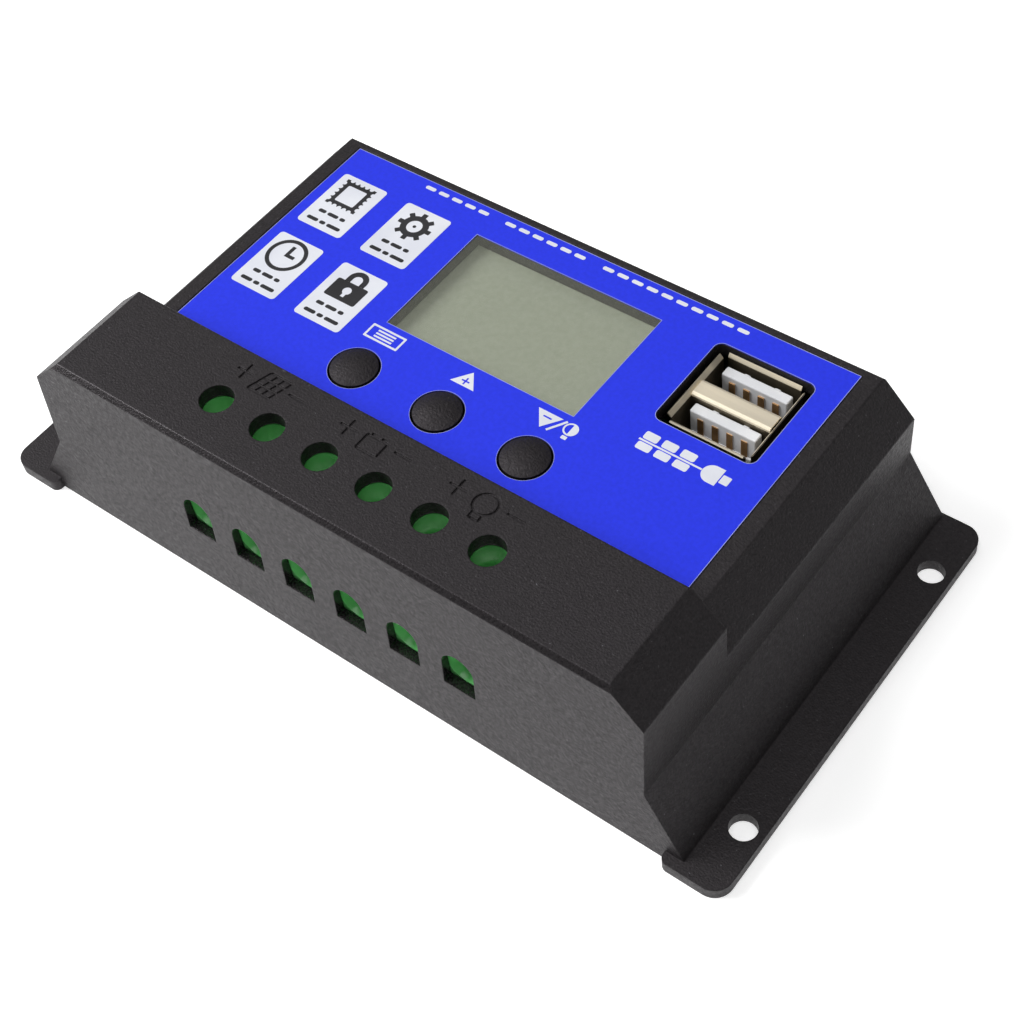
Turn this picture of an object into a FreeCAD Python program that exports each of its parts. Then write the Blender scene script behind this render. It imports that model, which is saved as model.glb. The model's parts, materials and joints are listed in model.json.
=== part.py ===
import FreeCAD, Part
import math
import os
import re

import Sketcher
from FreeCAD import Placement, Rotation, Vector

# Solar charge controller: a flanged moulded housing over a bottom plate, with a raised cover over
# six cable terminals along the front, and a printed panel with a display, three buttons and a
# two-port USB socket. X runs along the long side, Y from the cable side to the back, Z up.
# The origin is the middle of the underside.

DIMENSIONS = {
    # housing, outside
    "length": 150.0,
    "flange_half_y": 38.9,
    "flange_thick": 2.3,
    "flange_inner_x": 64.2,
    "flange_corner": 3.2,
    "flange_end": 1.3,
    "front_y": 37.2,
    "back_y": 38.5,
    "front_draft": 2.3,
    "base_x": 67.5,
    "wall_x": 60.5,
    "wall_low_z": 13.8,
    "wall_high_z": 22.0,
    "panel_x": 54.7,
    "panel_z": 28.2,
    "cover_x": 54.4,
    "cover_wall_z": 29.4,
    "cover_z": 35.0,
    "cover_back_y": 14.9,
    "ridge_round": 0.4,
    "cover_edge": 0.8,
    # engraved marks on the cover
    "mark_y": 18.6,
    "mark_deep": 0.25,
    "mark_half_stroke": 0.19,
    "mark_arm": 1.65,
    "panel_mark_half": 2.2,
    "panel_mark_slant": 1.3,
    "battery_mark_half": 2.0,
    "bulb_mark_rad": 2.0,
    # housing, inside
    "skin": 2.5,
    "cavity_front_y": 33.5,
    "cavity_back_y": 36.0,
    "cavity_base_x": 63.9,
    "cavity_wall_x": 57.9,
    "cavity_low_z": 13.0,
    "cavity_high_z": 20.9,
    "cavity_panel_x": 52.9,
    "cavity_panel_z": 25.7,
    "cavity_cover_z": 32.5,
    "cavity_cover_back": 17.2,
    "cavity_cover_wall": 28.2,
    "boss_x": 53.6,
    "boss_front_y": 29.0,
    "boss_back_y": 31.0,
    "boss_rad": 3.4,
    "boss_top_z": 23.5,
    "boss_cover_z": 31.0,
    "pilot_rad": 1.3,
    "pilot_deep": 10.0,
    "pillar_x": 44.5,
    "pillar_front_y": 14.2,
    "pillar_left_y": 30.0,
    "pillar_right_y": 4.6,
    "pillar_rad": 3.0,
    # mounting holes
    "mount_x": 71.5,
    "mount_y": 27.5,
    "mount_rad": 2.25,
    # printed panel film
    "film_x": 51.6,
    "film_back_y": 36.9,
    "film_front_y": 14.4,
    "film_thick": 0.15,
    "film_recess": 0.2,
    "film_gap": 0.25,
    "film_trim": 0.1,
    # display
    "window_left": 19.6,
    "window_right": 18.5,
    "window_front_y": 6.1,
    "window_back_y": 30.4,
    "glass_margin": 2.6,
    "glass_thick": 1.1,
    "polar_thick": 0.2,
    "light_thick": 3.0,
    "display_gap": 0.1,
    "tray_wall": 1.2,
    "pin_rad": 0.25,
    "pin_pitch": 2.54,
    # buttons
    "button_mid_x": -0.25,
    "button_pitch": 17.4,
    "button_y": 4.7,
    "button_hole": 4.35,
    "button_rad": 4.05,
    "button_rim": 5.2,
    "button_rim_z": 24.5,
    "button_rise": 1.0,
    "button_crown": 0.9,
    "switch_side": 6.0,
    "switch_high": 3.6,
    "plunger_rad": 1.7,
    "plunger_bore": 1.8,
    "press_room": 0.7,
    # circuit board
    "board_x": 48.0,
    "board_front_y": 32.9,
    "board_back_y": 34.8,
    "board_z": 8.0,
    "board_thick": 1.6,
    # USB socket
    "usb_left": 28.9,
    "usb_right": 47.05,
    "usb_front_y": 12.7,
    "usb_back_y": 31.4,
    "usb_corner": 1.4,
    "shell_left": 30.2,
    "shell_right": 45.3,
    "shell_front_y": 14.6,
    "shell_back_y": 31.0,
    "shell_top_z": 26.9,
    "shell_thick": 0.4,
    "divider_front_y": 21.0,
    "divider_back_y": 24.3,
    "tongue_thick": 1.9,
    "tongue_side": 1.1,
    "tongue_down": 1.3,
    "socket_floor_z": 13.0,
    "contact_down": 1.1,
    "contact_wide": 1.1,
    "contact_thick": 0.25,
    "contact_pitch": 2.7,
    # terminals
    "pole_pitch": 10.75,
    "pole_count": 6,
    "access_y": 25.5,
    "access_rad": 2.86,
    "entry_wide": 6.1,
    "entry_low_z": 12.0,
    "entry_high_z": 20.0,
    "block_half_x": 33.0,
    "block_front_y": 33.35,
    "block_back_y": 17.6,
    "block_top_z": 32.2,
    "well_rad": 2.95,
    "head_rad": 2.45,
    "head_low_z": 25.3,
    "head_high_z": 27.9,
    "shank_rad": 1.75,
    "shank_hole": 2.0,
    "screw_tip_z": 19.7,
    "cage_half_x": 3.6,
    "cage_front_y": 30.3,
    "cage_back_y": 21.9,
    "cage_low_z": 11.0,
    "cage_high_z": 21.2,
    "cage_wall": 0.8,
    "cage_roof": 1.6,
    "cage_floor": 1.0,
    "cage_bore": 1.8,
    "cell_half_x": 3.8,
    "cell_front_y": 30.6,
    "cell_back_y": 20.0,
    "cell_top_z": 24.2,
    "nose_low_z": 9.9,
    "nose_high_z": 22.6,
    "nose_deep": 1.1,
    "nose_gap": 0.15,
    "mouth_rad": 3.0,
    "mouth_z": 15.3,
    "funnel_rad": 3.5,
    "funnel_deep": 1.5,
    "bar_half_x": 2.5,
    "bar_low_z": 18.3,
    "bar_thick": 1.2,
    "bar_leg": 1.0,
    # bottom plate
    "plate_x": 62.6,
    "plate_front_y": 32.9,
    "plate_back_y": 35.7,
    "plate_thick": 1.5,
    "plate_hole": 1.7,
    "screw_rad": 1.25,
    "screw_head": 2.7,
    "sink_deep": 1.2,
    "spreader_z": 5.0,
    "pad_thick": 0.4,
}

doc = FreeCAD.newDocument("charge_controller")
sheet = doc.addObject("Spreadsheet::Sheet", "Dimensions")
for row, (alias, number) in enumerate(DIMENSIONS.items(), start=1):
    sheet.set(f"A{row}", alias)
    sheet.set(f"B{row}", str(number))
    sheet.setAlias(f"B{row}", alias)
doc.recompute()

nodes = []
ALONG_Y = Rotation(Vector(1, 0, 0), -90)
POLES = 6
BUTTONS = ("left", "middle", "right")


def bound(text):
    """The expression with the sheet's name before each of its aliases."""
    return re.sub(r"[a-z]\w*", lambda word: f"Dimensions.{word[0]}" if word[0] in DIMENSIONS else word[0],
                  text)


def value(text):
    return float(sheet.evalExpression(bound(text)))


def bind(thing, prop, text):
    thing.setExpression(prop, bound(text))


def place(thing, x, y, z):
    for axis, text in zip("xyz", (x, y, z)):
        bind(thing, f"Placement.Base.{axis}", text)
    return thing


def node(thing, name):
    """Marks an object of the document as a sub-part that is written out."""
    thing.Label = name
    nodes.append(thing)
    return thing


def box(name, x0, x1, y0, y1, z0, z1):
    solid = doc.addObject("Part::Box", name)
    bind(solid, "Length", f"({x1}) - ({x0})")
    bind(solid, "Width", f"({y1}) - ({y0})")
    bind(solid, "Height", f"({z1}) - ({z0})")
    return place(solid, x0, y0, z0)


def rod(name, x, y, z0, z1, radius):
    solid = doc.addObject("Part::Cylinder", name)
    bind(solid, "Radius", radius)
    bind(solid, "Height", f"({z1}) - ({z0})")
    return place(solid, x, y, z0)


def taper(name, x, y, z0, z1, low_radius, high_radius):
    solid = doc.addObject("Part::Cone", name)
    bind(solid, "Radius1", low_radius)
    bind(solid, "Radius2", high_radius)
    bind(solid, "Height", f"({z1}) - ({z0})")
    return place(solid, x, y, z0)


def rounded_block(name, across, along, height, radius):
    """An upright block with round corners. Across, along and height are pairs of limits."""
    x0, x1 = across
    y0, y1 = along
    pieces = [
        box(f"{name}_long", x0, x1, f"{y0} + {radius}", f"{y1} - ({radius})", *height),
        box(f"{name}_wide", f"{x0} + {radius}", f"{x1} - ({radius})", y0, y1, *height),
    ]
    for i, x in enumerate((f"{x0} + {radius}", f"{x1} - ({radius})")):
        for j, y in enumerate((f"{y0} + {radius}", f"{y1} - ({radius})")):
            pieces.append(rod(f"{name}_corner_{i}{j}", x, y, *height, radius))
    return fuse(name, pieces)


def bore(name, x, z, y0, y1, radius):
    """A cylinder that lies along Y, for a hole from the front."""
    solid = doc.addObject("Part::Cylinder", name)
    solid.Placement = Placement(Vector(), ALONG_Y)
    bind(solid, "Radius", radius)
    bind(solid, "Height", f"({y1}) - ({y0})")
    return place(solid, x, y0, z)


def funnel(name, x, z, y, deep, mouth_radius, throat_radius):
    """A cone that lies along Y and narrows from y inwards."""
    solid = doc.addObject("Part::Cone", name)
    solid.Placement = Placement(Vector(), ALONG_Y)
    bind(solid, "Radius1", mouth_radius)
    bind(solid, "Radius2", throat_radius)
    bind(solid, "Height", deep)
    return place(solid, x, y, z)


def group(name, solids):
    """Separate solids kept in one object."""
    pack = doc.addObject("Part::Compound", name)
    pack.Links = solids
    return pack


def fuse(name, solids):
    whole = doc.addObject("Part::MultiFuse", name)
    whole.Shapes = solids
    whole.Refine = True
    return whole


def cut(name, base, tools):
    whole = doc.addObject("Part::Cut", name)
    whole.Base = base
    whole.Tool = tools[0] if len(tools) == 1 else group(name + "_tools", tools)
    whole.Refine = True
    return whole


# PartDesign helpers

def body(name):
    return doc.addObject("PartDesign::Body", name)


def plane_sketch(owner, name, role, offset="0"):
    """A sketch on one of the body's origin planes, moved along the plane's normal by offset."""
    sketch = owner.newObject("Sketcher::SketchObject", name)
    plane = next(item for item in owner.Origin.OriginFeatures if item.Role == role)
    sketch.AttachmentSupport = [(plane, "")]
    sketch.MapMode = "FlatFace"
    bind(sketch, "AttachmentOffset.Base.z", offset)
    return sketch


def pin_point(sketch, geometry, point, across, along):
    """Holds a point of the sketch at two expressions, measured from the sketch's origin."""
    for kind, text in (("DistanceX", across), ("DistanceY", along)):
        index = sketch.addConstraint(Sketcher.Constraint(kind, geometry, point, value(text)))
        bind(sketch, f"Constraints[{index}]", text)


def polygon(sketch, points):
    start = sketch.GeometryCount
    spots = [Vector(value(across), value(along), 0) for across, along in points]
    count = len(spots)
    for i in range(count):
        sketch.addGeometry(Part.LineSegment(spots[i], spots[(i + 1) % count]), False)
    for i in range(count):
        sketch.addConstraint(Sketcher.Constraint("Coincident", start + i, 2, start + (i + 1) % count, 1))
    for i, (across, along) in enumerate(points):
        pin_point(sketch, start + i, 1, across, along)
    return sketch


def rectangle(sketch, x0, x1, y0, y1):
    return polygon(sketch, [(x0, y0), (x1, y0), (x1, y1), (x0, y1)])


def circle(sketch, x, y, radius):
    index = sketch.addGeometry(Part.Circle(Vector(value(x), value(y), 0), Vector(0, 0, 1), value(radius)),
                               False)
    pin_point(sketch, index, 3, x, y)
    limit = sketch.addConstraint(Sketcher.Constraint("Radius", index, value(radius)))
    bind(sketch, f"Constraints[{limit}]", radius)
    return sketch


def pad(owner, name, sketch, length, reverse=False):
    feature = owner.newObject("PartDesign::Pad", name)
    feature.Profile = sketch
    feature.Reversed = reverse
    bind(feature, "Length", length)
    doc.recompute()
    return feature


def pocket(owner, name, sketch, length, reverse=False):
    """A cut along the sketch's normal (against it when reverse is set), checked by its volume."""
    before = owner.Shape.Volume
    feature = owner.newObject("PartDesign::Pocket", name)
    feature.Profile = sketch
    feature.Reversed = not reverse
    bind(feature, "Length", length)
    doc.recompute()
    if owner.Shape.Volume > before - 1e-3:
        raise RuntimeError(f"{name} removes nothing")
    return feature


def repeat(owner, name, feature, spacing, count):
    """Copies of a feature along X."""
    pattern = owner.newObject("PartDesign::LinearPattern", name)
    pattern.Originals = [feature]
    axis = next(item for item in owner.Origin.OriginFeatures if item.Role == "X_Axis")
    pattern.Direction = (axis, [""])
    pattern.Mode = "Spacing"
    bind(pattern, "Offset", spacing)
    pattern.Occurrences = count
    owner.Tip = pattern
    doc.recompute()
    return pattern


def soften(owner, name, test, radius, kind="PartDesign::Fillet", size="Radius"):
    """A fillet or chamfer on the edges whose two ends pass the test."""
    chosen = []
    for number, edge in enumerate(owner.Shape.Edges, start=1):
        if len(edge.Vertexes) == 2 and test(edge.Vertexes[0].Point, edge.Vertexes[1].Point):
            chosen.append(f"Edge{number}")
    if not chosen:
        raise RuntimeError(f"{name} finds no edges")
    base = owner.Tip
    feature = owner.newObject(kind, name)
    feature.Base = (base, chosen)
    bind(feature, size, radius)
    doc.recompute()
    return feature


def near(first, second, slack=0.05):
    return abs(first - second) < slack


def pole_x(index):
    return f"({index} - (pole_count - 1) / 2) * pole_pitch"


def button_x(index):
    return f"button_mid_x + ({index} - 1) * button_pitch"


# Housing

def end_profile(wall_top, top_x, top_z):
    """Half outline of the housing seen along its length: battered foot, upright wall, chamfer."""
    half = [("base_x", "0"), ("base_x", "flange_thick"), ("wall_x", "wall_low_z"), ("wall_x", wall_top),
            (top_x, top_z)]
    mirror = [(f"-({across})", along) for across, along in reversed(half)]
    return half + mirror


def hollow_profile(wall_top, top_z):
    half = [("cavity_base_x", "0"), ("cavity_wall_x", "cavity_low_z"), ("cavity_wall_x", wall_top),
            ("cavity_panel_x", top_z)]
    mirror = [(f"-({across})", along) for across, along in reversed(half)]
    return half + mirror


def housing_block(shell):
    """Solid outside shape: low part behind, raised terminal cover in front, drafted front face."""
    low = polygon(plane_sketch(shell, "low_profile", "XZ_Plane", "-back_y"),
                  end_profile("wall_high_z", "panel_x", "panel_z"))
    pad(shell, "low_part", low, "back_y + front_y")
    high = polygon(plane_sketch(shell, "cover_profile", "XZ_Plane", "cover_back_y"),
                   end_profile("cover_wall_z", "cover_x", "cover_z"))
    pad(shell, "cover", high, "front_y - cover_back_y")
    wedge = plane_sketch(shell, "draft_profile", "YZ_Plane", "-length / 2")
    polygon(wedge, [("-front_y", "0"), ("-front_y + front_draft", "cover_z"), ("-front_y", "cover_z")])
    pocket(shell, "front_draft_cut", wedge, "length")


def soften_block(shell):
    top = value("cover_z")
    panel = value("panel_z")
    step = -value("cover_back_y")
    back = value("back_y")
    foot = value("wall_low_z")
    ridge = (value("wall_high_z"), value("cover_wall_z"), foot, top, panel)

    def front_of_cover(a, b):
        return near(a.z, top) and near(b.z, top) and near(a.y, b.y) and a.y < step - 1

    soften(shell, "cover_front_edge", front_of_cover, "cover_edge", kind="PartDesign::Chamfer", size="Size")

    def outer_edge(a, b):
        level = near(a.z, b.z)
        along = level and near(a.x, b.x) and abs(a.y - b.y) > 5 and any(near(a.z, z) for z in ridge)
        across = level and near(a.y, b.y) and abs(a.x - b.x) > 50
        cover_back = across and near(a.z, top) and near(a.y, step)
        panel_back = across and near(a.z, panel) and near(a.y, back)
        return along or cover_back or panel_back

    soften(shell, "ridges", outer_edge, "ridge_round")


def flanges(shell):
    sketch = plane_sketch(shell, "flange_outline", "XY_Plane")
    rectangle(sketch, "flange_inner_x", "length / 2", "-flange_half_y", "flange_half_y")
    rectangle(sketch, "-length / 2", "-flange_inner_x", "-flange_half_y", "flange_half_y")
    pad(shell, "flange_plates", sketch, "flange_thick")
    end = value("length / 2")
    inner = value("flange_inner_x")

    def upright(a, b):
        return near(a.x, b.x) and near(a.y, b.y) and abs(a.z - b.z) > 1

    soften(shell, "flange_corners", lambda a, b: upright(a, b) and near(abs(a.x), end), "flange_corner")
    front = -value("front_y")
    soften(shell, "flange_ends", lambda a, b: upright(a, b) and near(abs(a.x), inner) and a.y < front - 0.1,
           "flange_end")


def hollow(shell):
    low = polygon(plane_sketch(shell, "cavity_profile", "XZ_Plane", "cavity_front_y"),
                  hollow_profile("cavity_high_z", "cavity_panel_z"))
    pocket(shell, "cavity", low, "cavity_front_y + cavity_back_y", reverse=True)
    high = polygon(plane_sketch(shell, "cover_cavity_profile", "XZ_Plane", "cavity_front_y"),
                   hollow_profile("cavity_cover_wall", "cavity_cover_z"))
    pocket(shell, "cover_cavity", high, "cavity_front_y - cavity_cover_back", reverse=True)
    nose = rectangle(plane_sketch(shell, "nose_outline", "XZ_Plane", "cavity_front_y"),
                     "-block_half_x - nose_gap", "block_half_x + nose_gap", "nose_low_z", "nose_high_z")
    pocket(shell, "nose_seat", nose, "nose_deep")


def bosses(shell):
    """Four long bosses that take the bottom plate's screws and four pillars that hold the board."""
    rows = (("back", "boss_back_y", "boss_top_z"), ("front", "-boss_front_y", "boss_cover_z"))
    for place_name, y, top in rows:
        posts = plane_sketch(shell, f"{place_name}_boss_outline", "XY_Plane", "plate_thick")
        circle(posts, "boss_x", y, "boss_rad")
        circle(posts, "-boss_x", y, "boss_rad")
        pad(shell, f"{place_name}_bosses", posts, f"{top} - plate_thick")
    pillars = plane_sketch(shell, "pillar_outline", "XY_Plane", "board_z + board_thick")
    for x, y in PILLARS:
        circle(pillars, x, y, "pillar_rad")
    pad(shell, "pillars", pillars, "cavity_panel_z - board_z - board_thick + 0.5")
    pilots = plane_sketch(shell, "boss_pilots", "XY_Plane", "plate_thick")
    for side in ("", "-"):
        circle(pilots, f"{side}boss_x", "boss_back_y", "pilot_rad")
        circle(pilots, f"{side}boss_x", "-boss_front_y", "pilot_rad")
    pocket(shell, "boss_holes", pilots, "pilot_deep")
    pillar_pilots = plane_sketch(shell, "pillar_pilots", "XY_Plane", "board_z + board_thick")
    for x, y in PILLARS:
        circle(pillar_pilots, x, y, "pilot_rad")
    pocket(shell, "pillar_holes", pillar_pilots, "pilot_deep")


PILLARS = [
    ("-pillar_x", "pillar_left_y"),
    ("-pillar_x", "-pillar_front_y"),
    ("pillar_x", "pillar_right_y"),
    ("pillar_x", "-pillar_front_y"),
]


def arch(sketch, x, low, high, wide):
    """An upright outline with a flat foot and a half-round head."""
    half = value(wide) / 2
    middle = value(x)
    spring = value(high) - half
    foot = value(low)
    left_foot = Vector(middle - half, foot, 0)
    right_foot = Vector(middle + half, foot, 0)
    left_head = Vector(middle - half, spring, 0)
    right_head = Vector(middle + half, spring, 0)
    sketch.addGeometry(Part.LineSegment(left_foot, right_foot), False)
    sketch.addGeometry(Part.LineSegment(right_foot, right_head), False)
    round_head = Part.Circle(Vector(middle, spring, 0), Vector(0, 0, 1), half)
    sketch.addGeometry(Part.ArcOfCircle(round_head, 0, math.pi), False)
    sketch.addGeometry(Part.LineSegment(left_head, left_foot), False)
    sketch.addConstraint(Sketcher.Constraint("Coincident", 0, 2, 1, 1))
    sketch.addConstraint(Sketcher.Constraint("Tangent", 1, 2, 2, 1))
    sketch.addConstraint(Sketcher.Constraint("Tangent", 2, 2, 3, 1))
    sketch.addConstraint(Sketcher.Constraint("Coincident", 3, 2, 0, 1))
    sketch.addConstraint(Sketcher.Constraint("Vertical", 1))
    pin_point(sketch, 0, 1, f"{x} - {wide} / 2", low)
    pin_point(sketch, 0, 2, f"{x} + {wide} / 2", low)
    pin_point(sketch, 2, 3, x, f"{high} - {wide} / 2")
    return sketch


def openings(shell):
    window = rectangle(plane_sketch(shell, "window_outline", "XY_Plane", "panel_z"),
                       "-window_left", "window_right", "window_front_y", "window_back_y")
    pocket(shell, "window", window, "skin + 1", reverse=True)
    socket = rectangle(plane_sketch(shell, "usb_outline", "XY_Plane", "panel_z"),
                       "usb_left", "usb_right", "usb_front_y", "usb_back_y")
    pocket(shell, "usb_opening", socket, "skin + 1", reverse=True)
    left, right = value("usb_left"), value("usb_right")

    def usb_corner(a, b):
        upright = near(a.x, b.x) and near(a.y, b.y) and a.z > 20 and b.z > 20
        in_x = near(a.x, left) or near(a.x, right)
        return upright and in_x and value("usb_front_y") - 1 < a.y < value("usb_back_y") + 1

    soften(shell, "usb_corners", usb_corner, "usb_corner")
    film = rectangle(plane_sketch(shell, "film_outline", "XY_Plane", "panel_z"),
                     "-film_x - film_gap", "film_x + film_gap", "-cover_back_y", "film_back_y + film_gap")
    pocket(shell, "film_seat", film, "film_recess", reverse=True)
    hole = circle(plane_sketch(shell, "button_outline", "XY_Plane", "panel_z"), button_x(0), "-button_y",
                  "button_hole")
    first = pocket(shell, "button_opening", hole, "skin + 1", reverse=True)
    repeat(shell, "button_openings", first, "button_pitch", len(BUTTONS))
    access = circle(plane_sketch(shell, "access_outline", "XY_Plane", "cover_z"), pole_x(0), "-access_y",
                    "access_rad")
    first = pocket(shell, "access_opening", access, "skin + 1", reverse=True)
    repeat(shell, "access_openings", first, "pole_pitch", POLES)
    entry = arch(plane_sketch(shell, "entry_outline", "XZ_Plane", "front_y"), pole_x(0), "entry_low_z",
                 "entry_high_z",
                 "entry_wide")
    first = pocket(shell, "cable_entry", entry, "front_y - cavity_front_y + 1", reverse=True)
    repeat(shell, "cable_entries", first, "pole_pitch", POLES)
    mounts = plane_sketch(shell, "mount_outline", "XY_Plane")
    for x_side in ("", "-"):
        for y_side in ("", "-"):
            circle(mounts, f"{x_side}mount_x", f"{y_side}mount_y", "mount_rad")
    pocket(shell, "mount_holes", mounts, "flange_thick + 1")


def stroke(sketch, x0, x1, y0, y1):
    """One straight engraved stroke, along X or along Y."""
    half = "mark_half_stroke"
    if x0 == x1:
        return rectangle(sketch, f"{x0} - {half}", f"{x0} + {half}", y0, y1)
    return rectangle(sketch, x0, x1, f"{y0} - {half}", f"{y0} + {half}")


def engraved_marks(shell):
    """Plus, device and minus marks for each pair of poles: a panel, a battery and a lamp."""
    level = "-mark_y"
    across = plane_sketch(shell, "marks_across", "XY_Plane", "cover_z")
    upright = plane_sketch(shell, "marks_upright", "XY_Plane", "cover_z")
    for pair in range(POLES // 2):
        plus, minus = pole_x(2 * pair), pole_x(2 * pair + 1)
        stroke(across, f"{plus} - mark_arm", f"{plus} + mark_arm", level, level)
        stroke(across, f"{minus} - mark_arm", f"{minus} + mark_arm", level, level)
        stroke(upright, plus, plus, f"{level} - mark_arm", f"{level} + mark_arm")
    middle = [f"({pole_x(2 * pair)} + {pole_x(2 * pair + 1)}) / 2" for pair in range(POLES // 2)]

    low, high = f"{level} - 2.4", f"{level} + 1.9"
    for row in range(4):
        y = f"{low} + {row} * ({high} - ({low})) / 3"
        lean = f"(({row} / 3 - 0.5) * panel_mark_slant)"
        stroke(across, f"{middle[0]} + {lean} - panel_mark_half", f"{middle[0]} + {lean} + panel_mark_half",
               y, y)
    for column in range(4):
        x = f"{middle[0]} + ({column} / 1.5 - 1) * panel_mark_half"
        foot_x, head_x = f"{x} - panel_mark_slant / 2", f"{x} + panel_mark_slant / 2"
        polygon(upright, [(f"{foot_x} - mark_half_stroke", low), (f"{foot_x} + mark_half_stroke", low),
                          (f"{head_x} + mark_half_stroke", high), (f"{head_x} - mark_half_stroke", high)])

    low, high = f"{level} - 2.4", f"{level} + 0.6"
    for y in (low, high):
        stroke(across, f"{middle[1]} - battery_mark_half", f"{middle[1]} + battery_mark_half", y, y)
    for side in ("-", "+"):
        x = f"{middle[1]} {side} battery_mark_half"
        stroke(upright, x, x, low, high)
        terminal = f"{middle[1]} {side} battery_mark_half / 2"
        rectangle(upright, f"{terminal} - 0.45", f"{terminal} + 0.45", f"{high} + 0.1", f"{high} + 0.6")

    bulb_y = f"{level} - 0.4"
    stroke(across, f"{middle[2]} - 0.7", f"{middle[2]} + 0.7", f"{bulb_y} - bulb_mark_rad - 1.1",
           f"{bulb_y} - bulb_mark_rad - 1.1")
    for side in ("-", "+"):
        x = f"{middle[2]} {side} 0.9"
        stroke(upright, x, x, f"{bulb_y} - bulb_mark_rad - 1.2", f"{bulb_y} - bulb_mark_rad + 0.1")
    pocket(shell, "mark_strokes_across", across, "mark_deep", reverse=True)
    pocket(shell, "mark_strokes_upright", upright, "mark_deep", reverse=True)
    ring = plane_sketch(shell, "marks_ring", "XY_Plane", "cover_z")
    circle(ring, middle[2], bulb_y, "bulb_mark_rad + mark_half_stroke")
    circle(ring, middle[2], bulb_y, "bulb_mark_rad - mark_half_stroke")
    pocket(shell, "mark_ring", ring, "mark_deep", reverse=True)


def top_housing():
    shell = node(body("top_housing"), "top_housing")
    housing_block(shell)
    flanges(shell)
    soften_block(shell)
    hollow(shell)
    bosses(shell)
    openings(shell)
    engraved_marks(shell)
    return shell


def panel_film():
    """Thin printed film in the shallow seat, cut out for the display, the buttons and the socket."""
    base = "panel_z - film_recess"
    sheet_box = box("film_sheet", "-film_x", "film_x", "-film_front_y", "film_back_y", base,
                    f"{base} + film_thick")
    low, high = f"{base} - 1", f"{base} + 1"
    tools = [
        box("film_window", "-window_left", "window_right", "window_front_y", "window_back_y", low, high),
        rounded_block("film_usb", ("usb_left - film_trim", "usb_right + film_trim"),
                      ("usb_front_y - film_trim", "usb_back_y + film_trim"), (low, high),
                      "usb_corner + film_trim"),
    ]
    for i in range(len(BUTTONS)):
        tools.append(rod(f"film_button_{i + 1}", button_x(i), "-button_y", low, high,
                         "button_hole + film_trim"))
    node(cut("film", sheet_box, tools), "panel_film")


# Display

def display():
    edges = ("-window_left - glass_margin", "window_right + glass_margin",
             "window_front_y - glass_margin", "window_back_y + glass_margin")
    lit = ("-window_left - 1", "window_right + 1", "window_front_y - 1", "window_back_y + 1")
    top = "cavity_panel_z - display_gap"
    layers = [
        ("display_front_polarizer", lit, "polar_thick"),
        ("display_front_glass", edges, "glass_thick"),
        ("display_rear_glass", edges, "glass_thick"),
        ("display_rear_polarizer", lit, "polar_thick"),
        ("display_backlight", lit, "light_thick"),
    ]
    for name, outline, thick in layers:
        low = f"{top} - {thick}"
        node(box(name, *outline, low, top), name)
        top = low
    stack = "(2 * glass_thick + 2 * polar_thick + light_thick)"
    tray_top = f"cavity_panel_z - display_gap - {stack}"
    outer = box("tray_outer", f"{edges[0]}", edges[1], edges[2], edges[3], "board_z + board_thick", tray_top)
    inner = box("tray_inner", f"{edges[0]} + tray_wall", f"{edges[1]} - tray_wall", f"{edges[2]} + tray_wall",
                f"{edges[3]} - tray_wall", "board_z", f"{tray_top} - tray_wall")
    node(cut("tray", outer, [inner]), "display_tray")


def display_pins():
    """Two rows of straight pins from the glass edges down to the board, outside the tray."""
    pins = []
    for row, y in (("front", "window_front_y - glass_margin - pin_rad - 0.05"),
                   ("back", "window_back_y + glass_margin + pin_rad + 0.05")):
        for i in range(12):
            x = f"({i} - 5.5) * pin_pitch"
            pins.append(rod(f"pin_{row}_{i}", x, y, "board_z + board_thick", "cavity_panel_z - 1", "pin_rad"))
    node(group("pins", pins), "display_pins")


# Buttons

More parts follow.
